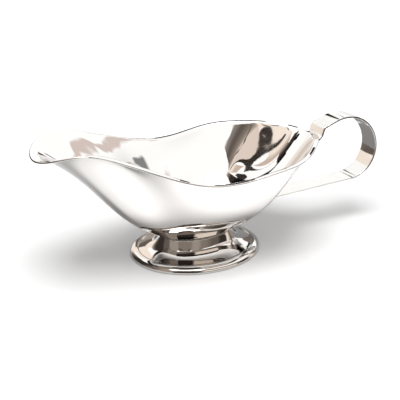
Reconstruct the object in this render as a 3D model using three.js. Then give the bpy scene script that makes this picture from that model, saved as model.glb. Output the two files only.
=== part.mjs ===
// A footed sauce boat: a pressed oval bowl with a pouring lip, a hollow pedestal foot and a bent strap handle.
// Millimetres, +Z up. -X points to the lip and +X to the handle.
// The pieces are laid out round the middle of the foot's base, on the surface that the boat stands on.
// The origin is then moved along that surface to lie under the middle of the whole boat.
import * as THREE from "three";

// Fits
const jointGap = 0.3; // left between two pieces that touch
const brazeLayer = 0.4; // least filler metal between the strap and the bowl

// Rim of the bowl, at nine even turns from the lip round to the handle, alike on both sides
const rimStations = [
  new THREE.Vector3(-94.5, 0, 71.2), // tip of the lip
  new THREE.Vector3(-82, 24.2, 77), // shoulder of the lip
  new THREE.Vector3(-62, 28.2, 74.4), // throat of the spout
  new THREE.Vector3(-41, 36.3, 66.4), // falling side
  new THREE.Vector3(-9.5, 45.8, 57.4), // lowest point
  new THREE.Vector3(22.5, 48.4, 59.4), // widest point
  new THREE.Vector3(47.5, 43.2, 62.1), // rear quarter
  new THREE.Vector3(71, 20.7, 63.3), // rear shoulder
  new THREE.Vector3(82, 0, 60.9), // under the handle
];
// Slope of the wall under the rim, in degrees, at five even turns from the lip to the handle
const rimSlopes = [30, 35.4, 69, 62.4, 48];

// Skin of the bowl
const bowlWall = 0.9;
const flangeWidthAtSides = 2.2; // everted band of the rim
const flangeWidthAtLip = 4;
const flangeFocus = 12; // power that keeps the wide band close to the lip's tip
const flangeBend = 0.8; // radius on the outside, between the wall and the band
const bottomDish = 5.1; // how far the bottom sinks inside the foot's neck
const neckEaseAtEnds = 0.41; // how long the wall keeps its slope at the neck, per unit of its chord
const neckEaseAtSides = 0.345;
const rimEaseAtEnds = 0.41; // the same at the rim
const rimEaseAtSides = 0.475;

// Foot, an oval pressing with an open underside
const footWall = 0.9;
const neckHalfLength = 22.3;
const neckHalfBreadth = 15;
const neckHeight = 13.05;
const baseHalfLength = 40.1;
const baseHalfBreadth = 34;
const baseRingWidth = 5; // quarter-round ring along the base
const baseRingHeight = 4;
const baseRingStep = 0.45; // sharp step from the flare up to the ring
const baseLip = 0.9; // upright edge below the ring
const baseTread = 1.3; // flat face that stands on the table
const neckSteepness = 66; // slope of the flare under the bowl, in degrees
const baseSteepness = 9; // slope of the flare where it meets the ring, in degrees
const flareEase = 0.45; // how long the flare keeps its slope at either end, per unit of its chord
const neckFillet = 1; // filler metal round the neck, along either metal from the corner
const filletHollow = 0.3; // how far its face sinks towards the corner

// Handle, one strap bent in its own plane
const strapWidth = 14;
const strapThickness = 1.2;
const strapEdgeBevel = 0.25;
const upperTabDrop = 9; // from the rim down to the strap's upper end
const upperTabBend = 3;
const strapRise = 5; // from the rim up to the sharp bend
const strapRiseAngle = 74;
const sharpBend = 1.6;
const upperLegLength = 9;
const upperLegAngle = 20.5;
const loopTopRadius = 24.3;
const loopTopTurn = 94;
const loopTailRadius = 18.9;
const lowerTabTop = 27.2; // heights on the bowl's wall that the strap's lower end lies along
const lowerTabBottom = 20;
const lowerTabBend = 4;
const brazeInset = 0.5; // the filler stays this far inside the strap's edges and ends

// Facets
const turnsRound = 64;
const dishSteps = 3;
const wallSteps = 12;
const bendSteps = 3;
const edgeSteps = 3;
const flareSteps = 8;
const ringSteps = 5;
const arcDivisions = 7;
const brazeColumns = 8;
const brazeRows = 4;

// Places along a meridian of the bowl, from 0 at the bottom's middle to 1 at the rim's edge
const dishEnd = 0.15;
const wallEnd = 0.8;
const bendEnd = 0.92;

const radians = THREE.MathUtils.degToRad;
const lerp = THREE.MathUtils.lerp;

// A smooth wave through values at even steps of half a turn. Cosines mirror it on the other half, sines reverse it.
function waveThrough(values, wave) {
  const last = values.length - 1;
  const share = (index) => (index === 0 || index === last ? 0.5 : 1);
  const amounts = values.map((_, order) => {
    const terms = values.map((value, index) => share(index) * value * wave((Math.PI * order * index) / last));
    return (2 / last) * share(order) * terms.reduce((sum, term) => sum + term, 0);
  });
  return (turn) => amounts.reduce((sum, amount, order) => sum + amount * wave(order * turn), 0);
}

const rimX = waveThrough(rimStations.map((station) => station.x), Math.cos);
const rimY = waveThrough(rimStations.map((station) => station.y), Math.sin);
const rimZ = waveThrough(rimStations.map((station) => station.z), Math.cos);
const rimSlope = waveThrough(rimSlopes.map(radians), Math.cos);

// The place between two bounds where a rising measure reaches a target.
function solve(measure, target, low, high) {
  while (high - low > 1e-9) {
    const middle = (low + high) / 2;
    if (measure(middle) < target) low = middle;
    else high = middle;
  }
  return (low + high) / 2;
}

// Height of the bowl's bottom, on its outside, over a place inside the foot's neck.
function dishHeight(x, y) {
  return neckHeight - bottomDish * (1 - (x / neckHalfLength) ** 2 - (y / neckHalfBreadth) ** 2);
}

// One meridian of the bowl's outside: it leaves the neck at the dish's own slope and ends in the rim's everted band.
function meridian(turn) {
  const neck = new THREE.Vector3(-neckHalfLength * Math.cos(turn), neckHalfBreadth * Math.sin(turn), neckHeight);
  const rim = new THREE.Vector3(rimX(turn), rimY(turn), rimZ(turn));
  const outward = rim.clone().sub(neck).setZ(0).normalize();
  const reach = Math.hypot(rim.x - neck.x, rim.y - neck.y) - bowlWall / 2;
  const bandHeight = rim.z - bowlWall / 2;
  const neckSlope = Math.atan(
    2 * bottomDish * ((neck.x * outward.x) / neckHalfLength ** 2 + (neck.y * outward.y) / neckHalfBreadth ** 2),
  );
  const slope = rimSlope(turn);
  const lipShare = ((1 + Math.cos(turn)) / 2) ** flangeFocus;
  const bandStart = reach - lerp(flangeWidthAtSides, flangeWidthAtLip, lipShare);
  const bendLength = flangeBend * Math.tan(slope / 2);
  const wallTop = new THREE.Vector2(
    bandStart - bendLength * Math.cos(slope),
    bandHeight - bendLength * Math.sin(slope),
  );
  const wallFoot = new THREE.Vector2(0, neckHeight);
  const chord = wallTop.distanceTo(wallFoot);
  const sideShare = Math.sin(turn) ** 2;
  const neckEase = chord * lerp(neckEaseAtEnds, neckEaseAtSides, sideShare);
  const rimEase = chord * lerp(rimEaseAtEnds, rimEaseAtSides, sideShare);
  const wall = new THREE.CubicBezierCurve(
    wallFoot,
    new THREE.Vector2(neckEase * Math.cos(neckSlope), neckHeight + neckEase * Math.sin(neckSlope)),
    new THREE.Vector2(wallTop.x - rimEase * Math.cos(slope), wallTop.y - rimEase * Math.sin(slope)),
    wallTop,
  );
  return { neck, outward, reach, bandHeight, slope, bandStart, bendLength, wall };
}

// A point of the bowl's outside.
function outside(turn, place) {
  const line = meridian(turn);
  if (place <= dishEnd) {
    const x = line.neck.x * (place / dishEnd);
    const y = line.neck.y * (place / dishEnd);
    return new THREE.Vector3(x, y, dishHeight(x, y));
  }
  let run;
  let height;
  if (place <= wallEnd) {
    const point = line.wall.getPoint((place - dishEnd) / (wallEnd - dishEnd));
    run = point.x;
    height = point.y;
  } else if (place <= bendEnd) {
    const angle = line.slope * ((bendEnd - place) / (bendEnd - wallEnd));
    run = line.bandStart + line.bendLength - flangeBend * Math.sin(angle);
    height = line.bandHeight - flangeBend * (1 - Math.cos(angle));
  } else {
    run = lerp(line.bandStart + line.bendLength, line.reach, (place - bendEnd) / (1 - bendEnd));
    height = line.bandHeight;
  }
  return new THREE.Vector3(line.neck.x + line.outward.x * run, line.neck.y + line.outward.y * run, height);
}

// The direction through the skin, from the outside to the inside.
function inward(turn, place) {
  if (place === 0) return new THREE.Vector3(0, 0, 1);
  const nudge = 1e-4;
  const along = outside(turn + nudge, place).sub(outside(turn - nudge, place));
  const up = outside(turn, Math.min(place + nudge, 1)).sub(outside(turn, place - nudge));
  return along.cross(up).normalize();
}

// A point of the skin, some way in from the outside. A way below zero lies off the bowl.
function throughSkin(turn, place, way) {
  return outside(turn, place).addScaledVector(inward(turn, place), way);
}

// A lathe's closed grid, with every vertex formed to the place that the piece gives it.
// The segments run against the turns, so a section drawn up its outside first has its faces pointing out.
function formedLathe(steps, place) {
  const blank = Array.from({ length: steps + 1 }, (_, step) => new THREE.Vector2(1, step));
  const geometry = new THREE.LatheGeometry(blank, turnsRound);
  const vertices = geometry.attributes.position;
  for (let index = 0; index < vertices.count; index += 1) {
    const segment = Math.floor(index / (steps + 1)) % turnsRound;
    const point = place((-2 * Math.PI * segment) / turnsRound, index % (steps + 1));
    vertices.setXYZ(index, point.x, point.y, point.z);
  }
  geometry.computeVertexNormals();
  return geometry;
}

// Even places from one bound to the next, without the first.
function evenPlaces(from, to, count) {
  return Array.from({ length: count }, (_, index) => lerp(from, to, (index + 1) / count));
}

// Pressed bowl: up the outside, round the rim's edge and down the inside.
function bowlGeometry() {
  const places = [
    0,
    ...evenPlaces(0, dishEnd, dishSteps),
    ...evenPlaces(dishEnd, wallEnd, wallSteps),
    ...evenPlaces(wallEnd, bendEnd, bendSteps),
    1,
  ];
  const steps = 2 * places.length + edgeSteps - 2;
  const radius = bowlWall / 2;
  return formedLathe(steps, (turn, step) => {
    if (step < places.length) return outside(turn, places[step]);
    const inner = steps - step;
    if (inner < places.length) return throughSkin(turn, places[inner], bowlWall);
    const angle = (Math.PI * (step - places.length + 1)) / edgeSteps;
    return throughSkin(turn, 1, radius * (1 - Math.cos(angle)))
      .addScaledVector(meridian(turn).outward, radius * Math.sin(angle));
  });
}

// A point at one offset from the neck's oval and one height. Offsets are measured along the boat.
function ovalPoint(turn, offset, height) {
  const share = offset / (baseHalfLength - neckHalfLength);
  const halfBreadth = lerp(neckHalfBreadth, baseHalfBreadth, share);
  return new THREE.Vector3(-(neckHalfLength + offset) * Math.cos(turn), halfBreadth * Math.sin(turn), height);
}

// The flare of the foot in section: offset from the neck and height. A way above zero lies inside the metal.
function flarePoint(share, way) {
  const end = new THREE.Vector2(
    baseHalfLength - neckHalfLength - baseRingWidth,
    baseRingHeight - baseRingStep,
  );
  const start = new THREE.Vector2(0, neckHeight);
  const ease = start.distanceTo(end) * flareEase;
  const neckAngle = radians(neckSteepness);
  const baseAngle = radians(baseSteepness);
  const curve = new THREE.CubicBezierCurve(
    start,
    new THREE.Vector2(ease * Math.cos(neckAngle), neckHeight - ease * Math.sin(neckAngle)),
    new THREE.Vector2(end.x - ease * Math.cos(baseAngle), end.y + ease * Math.sin(baseAngle)),
    end,
  );
  const heading = curve.getTangent(share);
  return curve.getPoint(share).add(new THREE.Vector2(heading.y, -heading.x).multiplyScalar(way));
}

// The quarter-round of the base in section, from the step outwards. A way above zero lies inside the metal.
function ringPoint(share, way) {
  const angle = (Math.PI / 2) * share;
  const width = baseRingWidth - way;
  const height = baseRingHeight - baseLip - way;
  const start = baseHalfLength - neckHalfLength - baseRingWidth;
  return new THREE.Vector2(start + width * Math.sin(angle), baseLip + height * Math.cos(angle));
}

// Pedestal foot: down its hollow underside, over the tread and back up the ring and the flare.
function footGeometry() {
  const edge = baseHalfLength - neckHalfLength;
  const flareShares = evenPlaces(0, 1, flareSteps);
  const ringShares = [0, ...evenPlaces(0, 1, ringSteps)];
  const section = [
    ...flareShares.map((share) => flarePoint(share, footWall)),
    ...ringShares.map((share) => ringPoint(share, footWall)),
    new THREE.Vector2(edge - baseTread, 0),
    new THREE.Vector2(edge, 0),
    ...ringShares.map((share) => ringPoint(1 - share, 0)),
    ...flareShares.map((share) => flarePoint(1 + 1 / flareSteps - share, 0)),
  ];
  // The top edge is cut to the bowl's underside
  const cut = (turn, offset) => {
    const point = ovalPoint(turn, offset, 0);
    const rise = Math.hypot(point.x / neckHalfLength ** 2, point.y / neckHalfBreadth ** 2);
    const slope = Math.atan(2 * bottomDish * rise);
    return point.setZ(dishHeight(point.x, point.y) - jointGap / Math.cos(slope));
  };
  const steps = section.length + 2;
  return formedLathe(steps, (turn, step) => {
    if (step % steps === 0) return cut(turn, -footWall);
    if (step === steps - 1) return cut(turn, 0);
    const point = section[step - 1];
    return ovalPoint(turn, point.x, point.y);
  });
}

// Filler metal round the neck, in the corner between the foot's flare and the bowl.
function neckBrazeGeometry() {
  const underBowl = (turn, run) => {
    const from = meridian(turn).neck;
    const distance = (place) => outside(turn, place).setZ(neckHeight).distanceTo(from);
    return throughSkin(turn, solve(distance, run, dishEnd, wallEnd), -jointGap);
  };
  const top = flarePoint(0, 0);
  const reach = jointGap + neckFillet;
  const flare = flarePoint(solve((share) => flarePoint(share, 0).distanceTo(top), reach, 0, 1), -jointGap);
  return formedLathe(4, (turn, step) => {
    const low = ovalPoint(turn, flare.x, flare.y);
    const high = underBowl(turn, reach);
    const corner = underBowl(turn, 2 * jointGap);
    if (step === 1) return low.lerp(high, 0.5).lerp(corner, filletHollow);
    if (step === 2) return high;
    if (step === 3) return corner;
    return low;
  });
}

// Plane of the strap: x along the boat and y for its height
const heading = (degrees) => new THREE.Vector2(Math.cos(radians(degrees)), Math.sin(radians(degrees)));
const leftOf = (direction) => new THREE.Vector2(-direction.y, direction.x);

// A point off the rear wall of the bowl, at some height of the wall, as far off as the strap's middle runs.
function besideRearWall(height) {
  const place = solve((at) => outside(Math.PI, at).z, height, dishEnd, wallEnd);
  const off = jointGap + brazeLayer + jointGap + strapThickness / 2;
  const point = throughSkin(Math.PI, place, -off);
  return new THREE.Vector2(point.x, point.z);
}

// A bend of the strap's middle line: the arc that rounds a corner between two straight stretches.
function roundCorner(before, corner, after, radius) {
  const arriving = corner.clone().sub(before).normalize();
  const leaving = after.clone().sub(corner).normalize();
  const turn = Math.atan2(arriving.cross(leaving), arriving.dot(leaving));
  const side = Math.sign(turn);
  const start = corner.clone().addScaledVector(arriving, -radius * Math.tan(Math.abs(turn) / 2));
  const centre = start.clone().addScaledVector(leftOf(arriving), side * radius);
  const from = start.clone().sub(centre).angle();
  return { centre, radius, from, to: from + turn, clockwise: side < 0 };
}

// The strap's middle line: its two ends and the arcs between them, which straight stretches join.
function strapLine() {
  const rim = new THREE.Vector2(rimX(Math.PI), rimZ(Math.PI));
  const standOff = jointGap + brazeLayer + jointGap;
  const start = besideRearWall(rim.y - upperTabDrop);
  const atRim = new THREE.Vector2(rim.x + standOff + strapThickness / 2, rim.y);
  const top = atRim.clone().addScaledVector(heading(strapRiseAngle), strapRise);
  const legEnd = top.clone().addScaledVector(heading(upperLegAngle), upperLegLength);
  const topCentre = legEnd.clone().addScaledVector(leftOf(heading(upperLegAngle)), -loopTopRadius);
  const topFrom = radians(upperLegAngle + 90);
  const topTo = topFrom - radians(loopTopTurn);
  const inset = new THREE.Vector2(Math.cos(topTo), Math.sin(topTo));
  const tailCentre = topCentre.clone().addScaledVector(inset, loopTopRadius - loopTailRadius);
  const tabTop = besideRearWall(lowerTabTop);
  const end = besideRearWall(lowerTabBottom);
  const toCentre = tailCentre.clone().sub(tabTop);
  const lean = Math.asin(loopTailRadius / toCentre.length());
  const tailTo = toCentre.angle() - lean - Math.PI / 2;
  const tangent = tailCentre.clone().add(new THREE.Vector2(Math.cos(tailTo), Math.sin(tailTo)).multiplyScalar(loopTailRadius));
  const arcs = [
    roundCorner(start, atRim, top, upperTabBend),
    roundCorner(atRim, top, legEnd, sharpBend),
    { centre: topCentre, radius: loopTopRadius, from: topFrom, to: topTo, clockwise: true },
    { centre: tailCentre, radius: loopTailRadius, from: topTo, to: tailTo, clockwise: true },
    roundCorner(tangent, tabTop, end, lowerTabBend),
  ];
  return { start, atRim, tabTop, end, arcs };
}

// Bent strap: both faces of its middle line, extruded across its width with eased edges.
function strapGeometry() {
  const { start, atRim, tabTop, end, arcs } = strapLine();
  const half = strapThickness / 2;
  const startSide = leftOf(atRim.clone().sub(start).normalize()).multiplyScalar(half);
  const endSide = leftOf(end.clone().sub(tabTop).normalize()).multiplyScalar(half);
  const outline = new THREE.Shape();
  outline.moveTo(start.x + startSide.x, start.y + startSide.y);
  for (const arc of arcs) {
    const radius = arc.radius + (arc.clockwise ? half : -half);
    outline.absarc(arc.centre.x, arc.centre.y, radius, arc.from, arc.to, arc.clockwise);
  }
  outline.lineTo(end.x + endSide.x, end.y + endSide.y);
  outline.lineTo(end.x - endSide.x, end.y - endSide.y);
  for (const arc of [...arcs].reverse()) {
    const radius = arc.radius - (arc.clockwise ? half : -half);
    outline.absarc(arc.centre.x, arc.centre.y, radius, arc.to, arc.from, !arc.clockwise);
  }
  outline.lineTo(start.x - startSide.x, start.y - startSide.y);
  outline.closePath();
  const geometry = new THREE.ExtrudeGeometry(outline, {
    depth: strapWidth - 2 * strapEdgeBevel,
    curveSegments: arcDivisions,
    bevelThickness: strapEdgeBevel,
    bevelSize: strapEdgeBevel,
    bevelOffset: -strapEdgeBevel,
    bevelSegments: 1,
  });
  geometry.translate(0, 0, strapEdgeBevel - strapWidth / 2);
  return geometry.rotateX(Math.PI / 2);
}

// A point of the rear wall at some height and some way across the boat, a gap off the metal.
function offRearWall(height, across) {
  const place = solve((at) => outside(Math.PI, at).z, height, dishEnd, wallEnd);
  const short = solve((angle) => outside(Math.PI - angle, place).y, Math.abs(across), 0, Math.PI / 2);
  return throughSkin(Math.PI - Math.sign(across) * short, place, -jointGap);
}

// Filler metal between the rear wall and a straight stretch of the strap, from one height to another.
function strapBrazeGeometry(low, high, lowEnd, highEnd) {
  const geometry = new THREE.BoxGeometry(1, 1, 1, 1, brazeColumns, brazeRows);
  const along = highEnd.clone().sub(lowEnd).normalize();
  const faceShift = leftOf(along).multiplyScalar(strapThickness / 2 + jointGap);
  const vertices = geometry.attributes.position;
  for (let index = 0; index < vertices.count; index += 1) {
    const height = lerp(low, high, vertices.getZ(index) + 0.5);
    const across = vertices.getY(index) * (strapWidth - 2 * brazeInset);
    const wall = offRearWall(height, across);
    const share = (wall.z - faceShift.y - lowEnd.y) / (highEnd.y - lowEnd.y);
    const strapX = lerp(lowEnd.x, highEnd.x, share) + faceShift.x;
    const x = vertices.getX(index) < 0 ? wall.x : strapX;
    vertices.setXYZ(index, x, across, wall.z);
  }
  geometry.computeVertexNormals();
  return geometry;
}

// Upper joint: the filler fills the wedge under the rim's band.
function upperBrazeGeometry() {
  const { start, atRim } = strapLine();
  const rimHeight = rimZ(Math.PI);
  const underBand = rimHeight - bowlWall - flangeBend - jointGap;
  return strapBrazeGeometry(rimHeight - upperTabDrop + brazeInset, underBand, start, atRim);
}

// Lower joint: the filler lies between the bowl's underside and the strap's end, clear of the bend.
function lowerBrazeGeometry() {
  const { tabTop, end } = strapLine();
  return strapBrazeGeometry(lowerTabBottom + brazeInset, lowerTabTop - lowerTabBend / 2, end, tabTop);
}

// Mirror-polished steel, a little warmer in the filler metal
const polishedSteel = new THREE.MeshStandardMaterial({ color: 0xe4e2de, roughness: 0.06, metalness: 1 });
const strapSteel = new THREE.MeshStandardMaterial({ color: 0xdcd9d4, roughness: 0.12, metalness: 1 });
const fillerMetal = new THREE.MeshStandardMaterial({ color: 0xc9c1b2, roughness: 0.35, metalness: 1 });

function piece(name, geometry, material) {
  const mesh = new THREE.Mesh(geometry, material);
  mesh.name = name;
  return mesh;
}

const handle = new THREE.Group();
handle.add(piece("handle_strap", strapGeometry(), strapSteel));
handle.add(piece("handle_upper_braze", upperBrazeGeometry(), fillerMetal));
handle.add(piece("handle_lower_braze", lowerBrazeGeometry(), fillerMetal));

const pedestal = new THREE.Group();
pedestal.add(piece("foot", footGeometry(), polishedSteel));
pedestal.add(piece("neck_braze", neckBrazeGeometry(), fillerMetal));

const pieces = new THREE.Group();
pieces.add(piece("bowl", bowlGeometry(), polishedSteel), pedestal, handle);
pieces.position.x = -new THREE.Box3().setFromObject(pieces).getCenter(new THREE.Vector3()).x;

const sauceBoat = new THREE.Group();
sauceBoat.add(pieces);

export default sauceBoat;
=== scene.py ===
"""A footed sauce boat of mirror-polished steel in a plain pale studio.

Sizes are in millimetres, round the middle of the foot's base on the table. The meshes are laid in metres
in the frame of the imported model, whose origin lies under the middle of the whole boat. -X points to the
pouring lip and +X to the handle. Each turn round the bowl and the foot starts at the lip and passes the
side away from the camera first.
"""

import logging
import math
from dataclasses import dataclass, field
from enum import Enum
from typing import Callable, Mapping, Optional, Sequence

import bmesh
import bpy
import numpy as np
from mathutils import Matrix, Vector

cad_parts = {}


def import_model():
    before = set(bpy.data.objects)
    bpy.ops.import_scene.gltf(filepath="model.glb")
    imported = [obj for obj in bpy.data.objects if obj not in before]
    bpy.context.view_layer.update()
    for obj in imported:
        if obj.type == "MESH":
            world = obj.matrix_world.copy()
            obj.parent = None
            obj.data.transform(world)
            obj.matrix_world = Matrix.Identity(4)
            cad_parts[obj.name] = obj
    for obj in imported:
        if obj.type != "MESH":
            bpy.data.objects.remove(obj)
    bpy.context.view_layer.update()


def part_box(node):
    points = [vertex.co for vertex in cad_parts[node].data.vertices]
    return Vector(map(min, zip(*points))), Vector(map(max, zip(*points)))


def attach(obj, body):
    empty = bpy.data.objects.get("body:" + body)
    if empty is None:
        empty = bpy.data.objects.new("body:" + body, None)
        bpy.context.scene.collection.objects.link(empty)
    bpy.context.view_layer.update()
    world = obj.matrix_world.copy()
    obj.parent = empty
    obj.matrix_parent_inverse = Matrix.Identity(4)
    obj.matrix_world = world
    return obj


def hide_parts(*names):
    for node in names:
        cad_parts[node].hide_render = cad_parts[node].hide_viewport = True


LOG = logging.getLogger("sauce_boat")
MM = 0.001
BODY = "root"
HALVINGS = 40
NUDGE = 1e-4
MERGE_DISTANCE = 1e-7
SHORTEST_RUN = 1e-6

Triple = tuple[float, float, float]
Measure = Callable[[np.ndarray], np.ndarray]
Tree = bpy.types.NodeTree
Socket = bpy.types.NodeSocket


class Wave(Enum):
    """How a measure runs from one side of the boat to the other."""

    EVEN = "alike on both sides"
    ODD = "reversed on the other side"


class Slot(Enum):
    """The record's material slots."""

    POLISHED = "polished_steel"
    STRAP = "strap_steel"
    FILLER = "filler_metal"


def wave_through(values: Sequence[float], wave: Wave) -> Measure:
    """Makes a smooth wave through values at even steps of half a turn.

    Args:
        values: The measure at each step, from the lip to the handle.
        wave: Whether the other half mirrors or reverses it.

    Returns:
        The measure as a function of the turn, in radians.
    """
    base = np.cos if wave is Wave.EVEN else np.sin
    last = len(values) - 1
    orders = np.arange(len(values))
    share = np.where((orders == 0) | (orders == last), 0.5, 1.0)
    waves = base(np.pi * np.outer(orders, orders) / last)
    amounts = (2 / last) * share * (waves @ (share * np.array(values)))
    return lambda turn: base(np.multiply.outer(turn, orders)) @ amounts


def lerp(low: float, high: float, share: float) -> float:
    """Blends two measures by a share from 0 to 1."""
    return low + (high - low) * share


def even_places(low: float, high: float, count: int) -> list[float]:
    """Gives even places from one bound to the next, without the first."""
    return [lerp(low, high, (index + 1) / count) for index in range(count)]


def even_turns(count: int) -> np.ndarray:
    """Gives even turns all the way round the boat, in radians."""
    return np.arange(count) * 2 * math.pi / count


def bezier(points: Sequence[np.ndarray], share: float) -> np.ndarray:
    """Gives the point of a cubic curve at a share of its length.

    Args:
        points: The four control points.
        share: From 0 at the first to 1 at the last.

    Returns:
        The point, or an array of points where the control points are arrays.
    """
    rest = 1 - share
    weights = (rest**3, 3 * rest**2 * share, 3 * rest * share**2, share**3)
    return sum(weight * point for weight, point in zip(weights, points))


def solve(measure: Measure, target: np.ndarray, low: float, high: float) -> np.ndarray:
    """Finds where a rising measure reaches a target.

    Args:
        measure: The measure as a function of a place.
        target: The value to reach, or an array of values.
        low: The least place.
        high: The greatest place.

    Returns:
        The place for each target.
    """
    target = np.asarray(target, float)
    least = np.full_like(target, low)
    most = np.full_like(target, high)
    for _ in range(HALVINGS):
        middle = (least + most) / 2
        below = measure(middle) < target
        least = np.where(below, middle, least)
        most = np.where(below, most, middle)
    return (least + most) / 2


def heading(degrees: float) -> np.ndarray:
    """Gives a direction in an upright plane, from the level one."""
    return np.array([math.cos(math.radians(degrees)), math.sin(math.radians(degrees))])


def left_of(direction: np.ndarray) -> np.ndarray:
    """Gives the direction a quarter turn to the left in an upright plane."""
    return np.array([-direction[1], direction[0]])


@dataclass(frozen=True)
class Seat:
    """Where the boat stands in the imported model's frame."""

    foot_middle: Vector

    def lay(self, points: np.ndarray) -> np.ndarray:
        """Takes points from millimetres round the foot to metres in the frame."""
        return np.asarray(points) * MM + np.array(self.foot_middle)


def deselect_all() -> None:
    """Leaves nothing selected, so that the next operator acts on its own piece alone."""
    bpy.ops.object.select_all(action="DESELECT")


def name_new(name: str) -> bpy.types.Object:
    """Names the object that an operator has just added, and its data.

    Args:
        name: The new name.

    Returns:
        The object.
    """
    piece = bpy.context.active_object
    piece.name = name
    piece.data.name = name
    return piece


class RingLathe:
    """Draws a ring of vertices out in edit mode by extrusions, and lays each new ring on the shape."""

    on_ring = 0.5

    def __init__(
        self, name: str, turns: int, seat: Seat, pole: Optional[np.ndarray], ring: np.ndarray
    ) -> None:
        """Adds the first ring.

        Args:
            name: Name of the new piece.
            turns: Number of vertices round.
            seat: Where the boat stands.
            pole: The point that closes the first ring, or None for an open ring.
            ring: The first ring's points, one for each vertex round.
        """
        deselect_all()
        fill = "NOTHING" if pole is None else "TRIFAN"
        bpy.ops.mesh.primitive_circle_add(vertices=turns, radius=1, fill_type=fill, location=(0, 0, 0))
        self.piece = name_new(name)
        self.turns = turns
        self.seat = seat
        bpy.ops.object.mode_set(mode="EDIT")
        bpy.context.tool_settings.mesh_select_mode = (False, True, False)
        grid = bmesh.from_edit_mesh(self.piece.data)
        segment = grid.verts.layers.int.new("segment")
        for vertex in grid.verts:
            vertex[segment] = round(math.atan2(vertex.co.y, vertex.co.x) / (2 * math.pi) * turns) % turns
            if vertex.co.length < self.on_ring:
                vertex.co = Vector(seat.lay(pole))
        for edge in grid.edges:
            edge.select = all(vertex.co.length > self.on_ring for vertex in edge.verts)
        grid.select_flush_mode()
        self._place(grid, ring)

    def _place(self, grid: bmesh.types.BMesh, ring: np.ndarray) -> None:
        """Lays the selected ring on its points.

        Args:
            grid: The piece's mesh in edit mode.
            ring: One point for each vertex round, in millimetres.
        """
        segment = grid.verts.layers.int["segment"]
        laid = self.seat.lay(ring)
        for vertex in grid.verts:
            if vertex.select:
                vertex.co = laid[vertex[segment]]
        bmesh.update_edit_mesh(self.piece.data)

    def draw(self, ring: np.ndarray) -> None:
        """Extrudes the last ring to its next place."""
        bpy.ops.mesh.extrude_edges_indiv()
        self._place(bmesh.from_edit_mesh(self.piece.data), ring)

    def close_at(self, pole: np.ndarray) -> None:
        """Draws the last ring together into one point."""
        self.draw(np.tile(pole, (self.turns, 1)))
        bpy.ops.mesh.merge(type="CENTER")

    def finish(self) -> bpy.types.Object:
        """Seams the mesh and turns its faces out.

        Returns:
            The closed piece, smooth all over.
        """
        bpy.ops.mesh.select_all(action="SELECT")
        bpy.ops.mesh.remove_doubles(threshold=MERGE_DISTANCE)
        bpy.ops.mesh.normals_make_consistent(inside=False)
        bpy.ops.mesh.faces_shade_smooth()
        bpy.ops.object.mode_set(mode="OBJECT")
        self.piece.data.attributes.remove(self.piece.data.attributes["segment"])
        return self.piece


def feed(tree: Tree, node: bpy.types.Node, inputs: Mapping[object, object]) -> None:
    """Gives a node's inputs their values, or links them to other nodes.

    Args:
        tree: The node tree.
        node: The node.
        inputs: A value or another node's socket for each input, by the input's name or index.
    """
    for key, value in inputs.items():
        if isinstance(value, Socket):
            tree.links.new(value, node.inputs[key])
        else:
            node.inputs[key].default_value = value


def map_range(
    tree: Tree, value: Socket, source: Sequence[float], target: Sequence[float], course: str = "LINEAR"
) -> Socket:
    """Maps a value from one range to another by a Map Range node.

    Args:
        tree: The node tree.
        value: The value's socket.
        source: The range that it comes from.
        target: The range that it goes to.
        course: The node's interpolation.

    Returns:
        The mapped value's socket.
    """
    node = tree.nodes.new("ShaderNodeMapRange")
    node.interpolation_type = course
    feed(tree, node, {
        "Value": value,
        "From Min": source[0],
        "From Max": source[1],
        "To Min": target[0],
        "To Max": target[1],
    })
    return node.outputs["Result"]


@dataclass(frozen=True)
class Finish:
    """A metal finish: a tinted mirror with a faint haze and the shallow marks of polishing."""

    name: str
    tint: Triple
    haze_tint: Triple
    roughness: float
    haze_roughness: float
    haze_size: float
    mark_size: float
    mark_depth: float
    mark_stretch: Triple = (1, 1, 1)
    haze_range: tuple[float, float] = (0.35, 0.75)
    haze_detail: float = 3
    haze_grain: float = 0.55
    mark_detail: float = 2

    def material(self) -> bpy.types.Material:
        """Builds the finish from nodes.

        Returns:
            The material.
        """
        made = bpy.data.materials.new(self.name)
        made.use_nodes = True
        tree = made.node_tree
        nodes = tree.nodes
        place = nodes.new("ShaderNodeTexCoord").outputs["Object"]
        haze = nodes.new("ShaderNodeTexNoise")
        feed(tree, haze, {
            "Vector": place,
            "Scale": 1 / (self.haze_size * MM),
            "Detail": self.haze_detail,
            "Roughness": self.haze_grain,
        })
        spread = (self.roughness, self.haze_roughness)
        blend = nodes.new("ShaderNodeMix")
        blend.data_type = "RGBA"
        feed(tree, blend, {"Factor": haze.outputs["Fac"], "A": (*self.tint, 1), "B": (*self.haze_tint, 1)})
        turn = nodes.new("ShaderNodeMapping")
        feed(tree, turn, {"Vector": place, "Scale": self.mark_stretch})
        marks = nodes.new("ShaderNodeTexNoise")
        feed(tree, marks, {
            "Vector": turn.outputs["Vector"],
            "Scale": 1 / (self.mark_size * MM),
            "Detail": self.mark_detail,
        })
        relief = nodes.new("ShaderNodeBump")
        depth = self.mark_depth * MM
        feed(tree, relief, {"Height": marks.outputs["Fac"], "Strength": 1, "Distance": depth})
        feed(tree, nodes["Principled BSDF"], {
            "Metallic": 1,
            "Base Color": blend.outputs["Result"],
            "Roughness": map_range(tree, haze.outputs["Fac"], self.haze_range, spread),
            "Normal": relief.outputs["Normal"],
        })
        return made


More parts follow.
